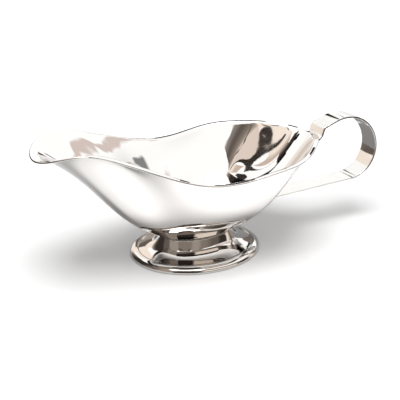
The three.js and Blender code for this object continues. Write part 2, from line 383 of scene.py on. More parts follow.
BOWL_POLISH = Finish("bowl_polish", (0.72, 0.705, 0.69), (0.69, 0.672, 0.655), 0.012, 0.03, 22, 9, 0.001)
FOOT_POLISH = Finish("foot_polish", (0.7, 0.682, 0.665), (0.66, 0.64, 0.62), 0.02, 0.045, 16, 8, 0.0012)
STRAP_POLISH = Finish(
    "strap_polish", (0.7, 0.685, 0.665), (0.64, 0.625, 0.6), 0.05, 0.12, 12, 2.5, 0.0012, (1, 0.15, 1)
)
FILLER_DULL = Finish("filler_dull", (0.5, 0.47, 0.43), (0.3, 0.28, 0.25), 0.22, 0.4, 3, 1.2, 0.02)


@dataclass(frozen=True)
class Meridian:
    """The bowl's meridian at each turn: level distances are from the neck, and slopes are in radians."""

    neck: np.ndarray
    outward: np.ndarray
    reach: np.ndarray
    band_height: np.ndarray
    band_start: np.ndarray
    bend_length: np.ndarray
    slope: np.ndarray
    neck_slope: np.ndarray


@dataclass
class Bowl:
    """The pressed bowl: a leaf-shaped dish with a raised lip and an everted band round its rim."""

    seat: Seat
    rim_stations: tuple[Triple, ...] = (
        (-94.5, 0, 71.2),
        (-82, 24.2, 77),
        (-62, 28.2, 74.4),
        (-41, 36.3, 66.4),
        (-9.5, 45.8, 57.4),
        (22.5, 48.4, 59.4),
        (47.5, 43.2, 62.1),
        (71, 20.7, 63.3),
        (82, 0, 60.9),
    )
    rim_slopes: tuple[float, ...] = (30, 35.4, 69, 62.4, 48)
    wall: float = 0.9
    flange_at_sides: float = 2.2
    flange_at_lip: float = 4
    flange_focus: float = 12
    flange_bend: float = 0.8
    bottom_dish: float = 5.1
    neck_half_length: float = 22.3
    neck_half_breadth: float = 15
    neck_height: float = 13.05
    neck_ease: tuple[float, float] = (0.41, 0.345)
    rim_ease: tuple[float, float] = (0.41, 0.475)
    dish_end: float = 0.15
    wall_end: float = 0.8
    bend_end: float = 0.92
    turns: int = 288
    dish_rows: int = 8
    wall_rows: int = 44
    bend_rows: int = 8
    band_rows: int = 3
    edge_rows: int = 9
    last_row: float = 0.97
    rim_x: Measure = field(init=False)
    rim_y: Measure = field(init=False)
    rim_z: Measure = field(init=False)
    rim_slope: Measure = field(init=False)

    def __post_init__(self) -> None:
        """Runs the waves through the stations of the rim."""
        xs, ys, zs = zip(*self.rim_stations)
        self.rim_x = wave_through(xs, Wave.EVEN)
        self.rim_y = wave_through(ys, Wave.ODD)
        self.rim_z = wave_through(zs, Wave.EVEN)
        self.rim_slope = wave_through([math.radians(slope) for slope in self.rim_slopes], Wave.EVEN)

    def dish_height(self, x: np.ndarray, y: np.ndarray) -> np.ndarray:
        """Gives the height of the bottom's outside inside the foot's neck."""
        within = 1 - (x / self.neck_half_length) ** 2 - (y / self.neck_half_breadth) ** 2
        return self.neck_height - self.bottom_dish * within

    def neck(self, turn: np.ndarray) -> np.ndarray:
        """Gives the oval where the bowl sits on its foot, seen from above."""
        along = -self.neck_half_length * np.cos(turn)
        return np.stack([along, self.neck_half_breadth * np.sin(turn)], axis=-1)

    def meridian(self, turn: np.ndarray) -> Meridian:
        """Lays out the meridian at each turn, from the neck to the rim's edge.

        Args:
            turn: Turns round the boat, in radians.

        Returns:
            The meridian's measures, each an array with one value for each turn.
        """
        neck = self.neck(turn)
        rim = np.stack([self.rim_x(turn), self.rim_y(turn)], axis=-1)
        span = np.linalg.norm(rim - neck, axis=-1)
        outward = (rim - neck) / span[..., None]
        reach = span - self.wall / 2
        rise = neck * outward / np.array([self.neck_half_length, self.neck_half_breadth]) ** 2
        lip_share = ((1 + np.cos(turn)) / 2) ** self.flange_focus
        slope = self.rim_slope(turn)
        return Meridian(
            neck=neck,
            outward=outward,
            reach=reach,
            band_height=self.rim_z(turn) - self.wall / 2,
            band_start=reach - lerp(self.flange_at_sides, self.flange_at_lip, lip_share),
            bend_length=self.flange_bend * np.tan(slope / 2),
            slope=slope,
            neck_slope=np.arctan(2 * self.bottom_dish * rise.sum(axis=-1)),
        )

    def outside(self, turn: np.ndarray, place: np.ndarray) -> np.ndarray:
        """Gives points of the bowl's outside.

        Args:
            turn: Turns round the boat, in radians.
            place: From 0 at the bottom's middle to 1 at the rim's edge. Arrays of it stay on the wall.

        Returns:
            One point for each turn, in millimetres.
        """
        turn = np.asarray(turn, float)
        if np.max(place) <= self.dish_end:
            flat = self.neck(turn) * (place / self.dish_end)
            return np.concatenate([flat, self.dish_height(flat[..., 0], flat[..., 1])[..., None]], axis=-1)
        line = self.meridian(turn)
        if np.max(place) <= self.wall_end:
            run, height = self._up_wall(line, turn, place)
        elif place <= self.bend_end:
            angle = line.slope * (self.bend_end - place) / (self.bend_end - self.wall_end)
            run = line.band_start + line.bend_length - self.flange_bend * np.sin(angle)
            height = line.band_height - self.flange_bend * (1 - np.cos(angle))
        else:
            share = (place - self.bend_end) / (1 - self.bend_end)
            run = lerp(line.band_start + line.bend_length, line.reach, share)
            height = line.band_height
        return np.concatenate([line.neck + line.outward * run[..., None], height[..., None]], axis=-1)

    def _up_wall(
        self, line: Meridian, turn: np.ndarray, place: np.ndarray
    ) -> tuple[np.ndarray, np.ndarray]:
        """Follows the wall, which leaves the neck at the dish's slope and meets the bend under the band.

        Args:
            line: The meridian at each turn.
            turn: The turns.
            place: Place along the meridian.

        Returns:
            The level distance from the neck, and the height.
        """
        top_run = line.band_start - line.bend_length * np.cos(line.slope)
        top_height = line.band_height - line.bend_length * np.sin(line.slope)
        chord = np.hypot(top_run, top_height - self.neck_height)
        side_share = np.sin(turn) ** 2
        neck_ease = chord * lerp(*self.neck_ease, side_share)
        rim_ease = chord * lerp(*self.rim_ease, side_share)
        share = (place - self.dish_end) / (self.wall_end - self.dish_end)
        runs = (
            0 * chord,
            neck_ease * np.cos(line.neck_slope),
            top_run - rim_ease * np.cos(line.slope),
            top_run,
        )
        heights = (
            0 * chord + self.neck_height,
            self.neck_height + neck_ease * np.sin(line.neck_slope),
            top_height - rim_ease * np.sin(line.slope),
            top_height,
        )
        return bezier(runs, share), bezier(heights, share)

    def outward(self, turn: np.ndarray) -> np.ndarray:
        """Gives the level direction in which each meridian runs.

        Args:
            turn: Turns round the boat, in radians.

        Returns:
            One direction for each turn.
        """
        run = self.outside(turn, 1) - self.outside(turn, self.bend_end)
        run[..., 2] = 0
        return run / np.linalg.norm(run, axis=-1)[..., None]

    def inward(self, turn: np.ndarray, place: float) -> np.ndarray:
        """Gives the direction through the skin, from the outside to the inside.

        Args:
            turn: Turns round the boat, in radians.
            place: Place along the meridian, or an array of places on the wall.

        Returns:
            One direction for each turn.
        """
        turn = np.asarray(turn, float)
        if np.max(place) == 0:
            return np.zeros(turn.shape + (3,)) + np.array([0, 0, 1])
        along = self.outside(turn + NUDGE, place) - self.outside(turn - NUDGE, place)
        over = min(place + NUDGE, 1) if np.ndim(place) == 0 else place
        up = self.outside(turn, over) - self.outside(turn, place - NUDGE)
        cross = np.cross(along, up)
        return cross / np.linalg.norm(cross, axis=-1)[..., None]

    def through_skin(self, turn: np.ndarray, place: float, way: float) -> np.ndarray:
        """Gives points some way in from the outside. A way below zero lies off the bowl."""
        return self.outside(turn, place) + self.inward(turn, place) * way

    def build(self) -> bpy.types.Object:
        """Draws the bowl up its outside, round the rim's edge and down its inside.

        Returns:
            The bowl.
        """
        turn = even_turns(self.turns)
        places = [
            *even_places(0, self.dish_end, self.dish_rows),
            *even_places(self.dish_end, self.wall_end, self.wall_rows),
            *even_places(self.wall_end, self.bend_end, self.bend_rows),
            *even_places(self.bend_end, 1, self.band_rows)[:-1],
            lerp(self.bend_end, 1, self.last_row),
            1,
        ]
        pole = np.array([0, 0, self.dish_height(0, 0)])
        lathe = RingLathe("bowl_fine", self.turns, self.seat, pole, self.outside(turn, places[0]))
        for place in places[1:]:
            lathe.draw(self.outside(turn, place))
        outward = self.outward(turn)
        radius = self.wall / 2
        for share in even_places(0, 1, self.edge_rows)[:-1]:
            angle = math.pi * share
            edge = self.through_skin(turn, 1, radius * (1 - math.cos(angle)))
            lathe.draw(edge + outward * radius * math.sin(angle))
        for place in reversed(places):
            lathe.draw(self.through_skin(turn, place, self.wall))
        lathe.close_at(pole + np.array([0, 0, self.wall]))
        return lathe.finish()


@dataclass
class Foot:
    """The pedestal foot: an oval flare with a quarter-round ring along its base, open underneath."""

    seat: Seat
    bowl: Bowl
    wall: float = 0.9
    base_half_length: float = 40.1
    base_half_breadth: float = 34
    ring_width: float = 5
    ring_height: float = 4
    ring_step: float = 0.45
    lip: float = 0.9
    tread: float = 1.3
    neck_steepness: float = 66
    base_steepness: float = 9
    flare_ease: float = 0.45
    soft_edge: float = 0.12
    edge_ease: float = 0.016
    round_crease: float = 0.03
    flare_crease: float = 0.004
    step_crease: float = 0.06
    flare_rows: int = 28
    round_rows: int = 14
    turns: int = 256

    @property
    def edge(self) -> float:
        """Offset of the base's edge from the neck, measured along the boat."""
        return self.base_half_length - self.bowl.neck_half_length

    def oval(self, turn: np.ndarray, offset: float, height: float) -> np.ndarray:
        """Gives the points of one oval of the foot.

        Args:
            turn: Turns round the boat, in radians.
            offset: Offset from the neck, measured along the boat.
            height: Height above the table.

        Returns:
            One point for each turn.
        """
        half_breadth = lerp(self.bowl.neck_half_breadth, self.base_half_breadth, offset / self.edge)
        x = -(self.bowl.neck_half_length + offset) * np.cos(turn)
        y = half_breadth * np.sin(turn)
        return np.stack([x, y, np.full_like(x, height)], axis=-1)

    def flare(self, share: float, way: float) -> np.ndarray:
        """Gives a point of the flare in section.

        Args:
            share: From 0 at the neck to 1 at the ring.
            way: How far inside the metal.

        Returns:
            The offset from the neck, and the height.
        """
        start = np.array([0, self.bowl.neck_height])
        end = np.array([self.edge - self.ring_width, self.ring_height - self.ring_step])
        ease = np.linalg.norm(end - start) * self.flare_ease
        leaving = ease * heading(-self.neck_steepness)
        arriving = ease * heading(-self.base_steepness)
        points = (start, start + leaving, end - arriving, end)
        along = bezier(points, share + NUDGE) - bezier(points, share - NUDGE)
        return bezier(points, share) - left_of(along / np.linalg.norm(along)) * way

    def quarter_round(self, share: float, way: float) -> np.ndarray:
        """Gives a point of the ring in section, from the step outwards.

        Args:
            share: From 0 at the step to 1 at the base's edge.
            way: How far inside the metal.

        Returns:
            The offset from the neck, and the height.
        """
        angle = math.pi / 2 * share
        start = self.edge - self.ring_width
        width = self.ring_width - way
        height = self.ring_height - self.lip - way
        return np.array([start + width * math.sin(angle), self.lip + height * math.cos(angle)])

    def section(self) -> list[Sequence[float]]:
        """Lists the section down the hollow underside, over the tread and back up the outside.

        Returns:
            The offset from the neck and the height of each point.
        """
        flares = even_places(0, 1, self.flare_rows)
        rounds = [0.0, self.round_crease, *even_places(0, 1, self.round_rows)]
        soft = self.soft_edge
        step_height = self.ring_height - self.ring_step + self.step_crease
        return [
            *(self.flare(share, self.wall) for share in flares),
            *(self.quarter_round(share, self.wall) for share in rounds),
            (self.edge - self.tread, soft),
            (self.edge - self.tread + soft, 0),
            (self.edge - 2 * soft, 0),
            (self.edge - soft, self.edge_ease),
            (self.edge - self.edge_ease, soft),
            (self.edge, 2 * soft),
            (self.edge, self.lip - soft),
            *(self.quarter_round(1 - share, 0) for share in rounds),
            (self.edge - self.ring_width, step_height),
            *(self.flare(1 - share, 0) for share in [0.0, self.flare_crease, *flares[:-1]]),
        ]

    def under_bowl(self, turn: np.ndarray, offset: float) -> np.ndarray:
        """Gives the ring of the foot's upper edge against the bowl's underside.

        Args:
            turn: Turns round the boat, in radians.
            offset: Offset from the neck, measured along the boat.

        Returns:
            One point for each turn.
        """
        ring = self.oval(turn, offset, 0)
        ring[..., 2] = self.bowl.dish_height(ring[..., 0], ring[..., 1])
        return ring

    def build(self) -> bpy.types.Object:
        """Draws the foot down its underside, over the tread and up its outside.

        Returns:
            The foot.
        """
        turn = even_turns(self.turns)
        lathe = RingLathe("foot_fine", self.turns, self.seat, None, self.under_bowl(turn, -self.wall))
        for offset, height in self.section():
            lathe.draw(self.oval(turn, offset, height))
        lathe.draw(self.under_bowl(turn, 0))
        lathe.draw(self.under_bowl(turn, -self.wall))
        return lathe.finish()


@dataclass
class NeckBraze:
    """Filler metal round the neck, in the corner between the foot's flare and the bowl."""

    seat: Seat
    bowl: Bowl
    foot: Foot
    fillet: float = 1.15
    sink: float = 0.08
    corner_run: float = 0.3
    root_inset: float = 0.5
    root_rise: float = 0.2
    rows: int = 8
    turns: int = 256

    def under_bowl(self, turn: np.ndarray, run: float, way: float) -> np.ndarray:
        """Gives points of the bowl's underside at some run from the neck.

        Args:
            turn: Turns round the boat.
            run: Level distance from the neck.
            way: How far inside the bowl's metal.

        Returns:
            One point for each turn.
        """
        bowl = self.bowl
        neck = bowl.neck(turn)
        place = solve(
            lambda at: np.linalg.norm(bowl.outside(turn, at)[..., :2] - neck, axis=-1),
            np.full_like(turn, run),
            bowl.dish_end,
            bowl.wall_end,
        )
        return bowl.through_skin(turn, place, way)

    def build(self) -> bpy.types.Object:
        """Draws the fillet from the flare over its hollow face to the bowl and back through the corner.

        Returns:
            The fillet.
        """
        turn = even_turns(self.turns)
        top = self.foot.flare(0, 0)
        share = solve(lambda at: np.linalg.norm(self.foot.flare(at, 0) - top), self.fillet, 0, 1)
        low = self.foot.oval(turn, *self.foot.flare(float(share), self.sink))
        high = self.under_bowl(turn, self.fillet, self.sink)
        corner = self.under_bowl(turn, self.corner_run, 0)
        lathe = RingLathe("neck_braze_fine", self.turns, self.seat, None, low)
        for step in even_places(0, 1, self.rows):
            rest = 1 - step
            lathe.draw(low * rest**2 + corner * 2 * rest * step + high * step**2)
        inside = corner - self.bowl.outward(turn) * self.root_inset
        lathe.draw(inside + np.array([0, 0, self.root_rise]))
        lathe.draw(low)
        return lathe.finish()


@dataclass
class Arc:
    """One bend of the strap's middle line, in the plane of x and height."""

    centre: np.ndarray
    radius: float
    start: float
    end: float

    def point(self, angle: float) -> np.ndarray:
        """Gives the point of the arc at an angle."""
        return self.centre + self.radius * np.array([math.cos(angle), math.sin(angle)])


@dataclass
class Handle:
    """The bent strap handle with the filler metal of its two joints."""

    seat: Seat
    bowl: Bowl
    joint_gap: float = 0.3
    braze_layer: float = 0.4
    width: float = 14
    thickness: float = 1.2
    edge_round: float = 0.32
    upper_tab_drop: float = 9
    upper_tab_bend: float = 3
    rise: float = 5
    rise_angle: float = 74
    sharp_bend: float = 1.6
    upper_leg_length: float = 9
    upper_leg_angle: float = 20.5
    loop_top_radius: float = 24.3
    loop_top_turn: float = 94
    loop_tail_radius: float = 18.9
    lower_tab_top: float = 27.2
    lower_tab_bottom: float = 20
    lower_tab_bend: float = 4
    braze_inset: float = 0.5
    braze_sink: float = 0.06
    braze_hollow: float = 0.5
    braze_cuts: int = 13
    bend_step: float = 1.2
    edge_segments: int = 5
    strap_smooth: float = 35
    braze_smooth: float = 40

    @property
    def stand_off(self) -> float:
        """Distance from the rear wall to the strap."""
        return self.joint_gap + self.braze_layer + self.joint_gap

    def beside_rear_wall(self, height: float) -> np.ndarray:
        """Gives the point off the rear wall where the strap's middle runs.

        Args:
            height: Height on the wall.

        Returns:
            The point's x and height.
        """
        bowl = self.bowl
        rear = np.array(math.pi)
        place = float(solve(lambda at: bowl.outside(rear, at)[2], height, bowl.dish_end, bowl.wall_end))
        point = bowl.through_skin(rear, place, -(self.stand_off + self.thickness / 2))
        return np.array([point[0], point[2]])

    @staticmethod
    def round_corner(before: np.ndarray, corner: np.ndarray, after: np.ndarray, radius: float) -> Arc:
        """Rounds a corner between two straight stretches.

        Args:
            before: A point of the first stretch.
            corner: Where the stretches meet.
            after: A point of the second stretch.
            radius: Radius of the bend's middle line.

        Returns:
            The bend.
        """
        arriving = (corner - before) / np.linalg.norm(corner - before)
        leaving = (after - corner) / np.linalg.norm(after - corner)
        turn = math.atan2(arriving[0] * leaving[1] - arriving[1] * leaving[0], float(arriving @ leaving))
        start = corner - arriving * radius * math.tan(abs(turn) / 2)
        centre = start + left_of(arriving) * math.copysign(radius, turn)
        start_angle = math.atan2(*(start - centre)[::-1])
        return Arc(centre, radius, start_angle, start_angle + turn)

    def middle_line(self) -> tuple[np.ndarray, list[Arc], np.ndarray]:
        """Lays out the strap's middle line.

        Returns:
            Its upper end, its bends in order, which straight stretches join, and its lower end.
        """
        rim = np.array([self.bowl.rim_x(math.pi), self.bowl.rim_z(math.pi)])
        start = self.beside_rear_wall(rim[1] - self.upper_tab_drop)
        at_rim = np.array([rim[0] + self.stand_off + self.thickness / 2, rim[1]])
        top = at_rim + heading(self.rise_angle) * self.rise
        leg_end = top + heading(self.upper_leg_angle) * self.upper_leg_length
        top_centre = leg_end - left_of(heading(self.upper_leg_angle)) * self.loop_top_radius
        top_from = math.radians(self.upper_leg_angle + 90)
        top_to = top_from - math.radians(self.loop_top_turn)
        to_tail = heading(self.upper_leg_angle + 90 - self.loop_top_turn)
        tail_centre = top_centre + to_tail * (self.loop_top_radius - self.loop_tail_radius)
        tab_top = self.beside_rear_wall(self.lower_tab_top)
        end = self.beside_rear_wall(self.lower_tab_bottom)
        to_centre = tail_centre - tab_top
        lean = math.asin(self.loop_tail_radius / np.linalg.norm(to_centre))
        tail_to = math.atan2(to_centre[1], to_centre[0]) - lean - math.pi / 2
        tail_to -= 2 * math.pi * round((tail_to - top_to + math.pi) / (2 * math.pi))
        tail = Arc(tail_centre, self.loop_tail_radius, top_to, tail_to)
        bends = [
            self.round_corner(start, at_rim, top, self.upper_tab_bend),
            self.round_corner(at_rim, top, leg_end, self.sharp_bend),
            Arc(top_centre, self.loop_top_radius, top_from, top_to),
            tail,
            self.round_corner(tail.point(tail_to), tab_top, end, self.lower_tab_bend),
        ]
        return start, bends, end

    def build_strap(self) -> bpy.types.Object:
        """Extrudes the strap's section along its straight stretches and spins it round its bends.

        Returns:
            The strap.
        """
        start, bends, end = self.middle_line()
        first = bends[0].point(bends[0].start) - start
        lean = math.atan2(first[1], first[0])
        middle = self.seat.lay(np.array([start[0], 0, start[1]]))
        deselect_all()
        bpy.ops.mesh.primitive_plane_add(size=1, location=middle, rotation=(0, math.pi / 2 - lean, 0))
        strap = name_new("handle_strap_fine")
        strap.scale = (self.thickness * MM, self.width * MM, 1)
        bpy.ops.object.transform_apply(location=True, rotation=True, scale=True)
        bpy.ops.object.mode_set(mode="EDIT")
        bpy.context.tool_settings.mesh_select_mode = (False, False, True)
        bpy.ops.mesh.select_all(action="SELECT")
        bpy.ops.mesh.bevel(offset=self.edge_round * MM, segments=self.edge_segments, affect="VERTICES")
        here = start
        for bend in bends:
            self._run_to(here, bend.point(bend.start))
            self._spin_round(bend)
            here = bend.point(bend.end)
        self._run_to(here, end)
        bpy.ops.mesh.select_all(action="SELECT")
        bpy.ops.mesh.normals_make_consistent(inside=False)
        bpy.ops.object.mode_set(mode="OBJECT")
        bpy.ops.object.shade_smooth_by_angle(angle=math.radians(self.strap_smooth))
        bpy.ops.object.modifier_add(type="WEIGHTED_NORMAL")
        strap.modifiers[-1].keep_sharp = True
        bpy.ops.object.modifier_apply(modifier=strap.modifiers[-1].name)
        return strap

    @staticmethod
    def _run_to(here: np.ndarray, there: np.ndarray) -> None:
        """Extrudes the strap's end straight on.

        Args:
            here: Where the end is.
            there: Where it goes.
        """
        way = (there - here) * MM
        if np.linalg.norm(way) > SHORTEST_RUN:
            bpy.ops.mesh.extrude_region_move(TRANSFORM_OT_translate={"value": (way[0], 0, way[1])})

    def _spin_round(self, bend: Arc) -> None:
        """Spins the strap's end round a bend.

        Args:
            bend: The bend, which starts where the end is.
        """
        turn = bend.end - bend.start
        steps = max(3, round(abs(math.degrees(turn)) / self.bend_step))
        centre = self.seat.lay(np.array([bend.centre[0], 0, bend.centre[1]]))
        bpy.ops.mesh.spin(steps=steps, angle=turn, center=centre, axis=(0, 1, 0))

    def off_rear_wall(self, height: np.ndarray, across: np.ndarray, way: float) -> np.ndarray:
        """Gives points of the rear wall at some height and some way across the boat.

        Args:
            height: Heights on the wall's middle.
            across: Distances from the middle, along Y.
            way: How far inside the bowl's metal.

        Returns:
            One point for each height.
        """
        bowl = self.bowl
        rear = np.full_like(height, math.pi)
        place = solve(lambda at: bowl.outside(rear, at)[..., 2], height, bowl.dish_end, bowl.wall_end)
        short = solve(lambda at: bowl.outside(math.pi - at, place)[..., 1], np.abs(across), 0, math.pi / 2)
        return bowl.through_skin(math.pi - np.copysign(short, across), place, way)

    def build_braze(
        self, name: str, low: float, high: float, low_end: np.ndarray, high_end: np.ndarray
    ) -> bpy.types.Object:
        """Shapes a block into the filler between the rear wall and a straight stretch of the strap.

        Args:
            name: Name of the new piece.
            low: Least height on the wall.
            high: Greatest height on the wall.
            low_end: The lower end of the strap's stretch.
            high_end: Its upper end.

        Returns:
            The filler.
        """
        deselect_all()
        bpy.ops.mesh.primitive_cube_add(size=1, location=(0, 0, 0))
        braze = name_new(name)
        bpy.ops.object.mode_set(mode="EDIT")
        bpy.ops.mesh.select_all(action="SELECT")
        bpy.ops.mesh.subdivide(number_cuts=self.braze_cuts)
        grid = bmesh.from_edit_mesh(braze.data)
        along = (high_end - low_end) / np.linalg.norm(high_end - low_end)
        face = left_of(along) * (self.thickness / 2 - self.braze_sink)
        reach = self.width - 2 * self.braze_inset
        through, side, up = np.array([vertex.co for vertex in grid.verts]).T
        hollow = self.braze_hollow * (1 - 4 * through**2)
        across = 2 * side * (reach / 2 - hollow)
        wall = self.off_rear_wall(lerp(low, high, up + 0.5) - 2 * up * hollow, across, self.braze_sink)
        share = (wall[:, 2] - face[1] - low_end[1]) / (high_end[1] - low_end[1])
        strap_x = lerp(low_end[0], high_end[0], share) + face[0]
        x = lerp(wall[:, 0], strap_x, through + 0.5)
        laid = self.seat.lay(np.stack([x, across, wall[:, 2]], axis=-1))
        for vertex, point in zip(grid.verts, laid):
            vertex.co = point
        bmesh.update_edit_mesh(braze.data)
        bpy.ops.mesh.normals_make_consistent(inside=False)
        bpy.ops.object.mode_set(mode="OBJECT")
        bpy.ops.object.shade_smooth_by_angle(angle=math.radians(self.braze_smooth))
        return braze

    def build_upper_braze(self) -> bpy.types.Object:
        """Fills the wedge between the strap's upper end and the wall, under the rim's band.

        Returns:
            The filler.
        """
        start, bends, _ = self.middle_line()
        rim = float(self.bowl.rim_z(math.pi))
        top = rim - self.bowl.wall - self.bowl.flange_bend - self.joint_gap
        at_rim = bends[0].point(bends[0].start)
        low = rim - self.upper_tab_drop + self.braze_inset
        return self.build_braze("upper_braze_fine", low, top, start, at_rim)

    def build_lower_braze(self) -> bpy.types.Object:
        """Fills the gap between the bowl's underside and the strap's lower end.

        Returns:
            The filler.
        """
        _, bends, end = self.middle_line()
        tab_top = bends[-1].point(bends[-1].end)
        low = self.lower_tab_bottom + self.braze_inset
        high = self.lower_tab_top - self.lower_tab_bend / 2
        return self.build_braze("lower_braze_fine", low, high, end, tab_top)


@dataclass
class Camera:
    """The photograph's camera, fitted to the boat's outline."""

    seat: Seat
    turn: float = 26.4
    elevation: float = 22.5
    distance: float = 454.5
    shift_right: float = 2.79
    shift_up: float = 28.97
    pixels_per_mm: float = 1.65
    frame_pixels: int = 400
    sensor_width: float = 36
    clip_start: float = 0.01
    clip_end: float = 20

    def build(self) -> None:
        """Sets the camera up."""
        turn = math.radians(self.turn)
        tilt = math.radians(self.elevation)
        right = Vector((math.cos(turn), -math.sin(turn), 0))
        up = Vector((math.sin(turn) * math.sin(tilt), math.cos(turn) * math.sin(tilt), math.cos(tilt)))
        back = right.cross(up)
        place = right * self.shift_right + up * self.shift_up + back * self.distance
        deselect_all()
        bpy.ops.object.camera_add(location=self.seat.lay(place))
        camera = bpy.context.active_object
        camera.rotation_euler = Matrix((right, up, back)).transposed().to_euler()
        camera.data.sensor_width = self.sensor_width
        camera.data.lens = self.sensor_width * self.pixels_per_mm * self.distance / self.frame_pixels
        camera.data.clip_start = self.clip_start
        camera.data.clip_end = self.clip_end
        bpy.context.scene.camera = camera


class Shade(Enum):
    """The paints of the studio's screens, as linear colours."""

    BLACK = (0.01, 0.01, 0.01)
    SOOT = (0.05, 0.04, 0.035)
    UMBER = (0.17, 0.14, 0.12)
    BROWN = (0.3, 0.25, 0.21)
    TAUPE = (0.44, 0.38, 0.33)
    SLATE = (0.33, 0.33, 0.335)
    BEIGE = (0.68, 0.6, 0.54)
    ROSE = (0.92, 0.79, 0.74)
    PUTTY = (0.82, 0.66, 0.55)
    BISQUE = (1.02, 0.87, 0.77)
    CREAM = (1.3, 1.15, 1.02)
    WHITE = (1.4, 1.4, 1.4)


BLACK, SOOT, UMBER, BROWN, TAUPE, SLATE, BEIGE, ROSE, PUTTY, BISQUE, CREAM, WHITE = Shade

Post = tuple[float, float, float, Shade]


@dataclass(frozen=True)
class Screen:
    """A curved paper screen round the boat, which only the polished metal sees. Sizes are in millimetres.

    Each post has its turn from +Y towards +X in degrees, the heights of its two ends and its paint.
    The paper runs from post to post along an oval, and its paint blends between them.
    The paint fades to white over the soft share of its height at either end.
    """

    name: str
    half_length: float
    posts: tuple[Post, ...]
    half_breadth: Optional[float] = None
    middle: float = 0
    soft: float = 0

    def foot_of(self, turn: float) -> Vector:
        """Gives the place of a post on the floor.

        Args:
            turn: The post's turn.

        Returns:
            The place, in millimetres.
        """
        angle = math.radians(turn)
        breadth = self.half_length if self.half_breadth is None else self.half_breadth
        return Vector((self.middle + self.half_length * math.sin(angle), breadth * math.cos(angle), 0))


def plain(shade: Shade, *spans: Triple) -> tuple[Post, ...]:
    """Gives posts that share one paint."""
    return tuple((*span, shade) for span in spans)


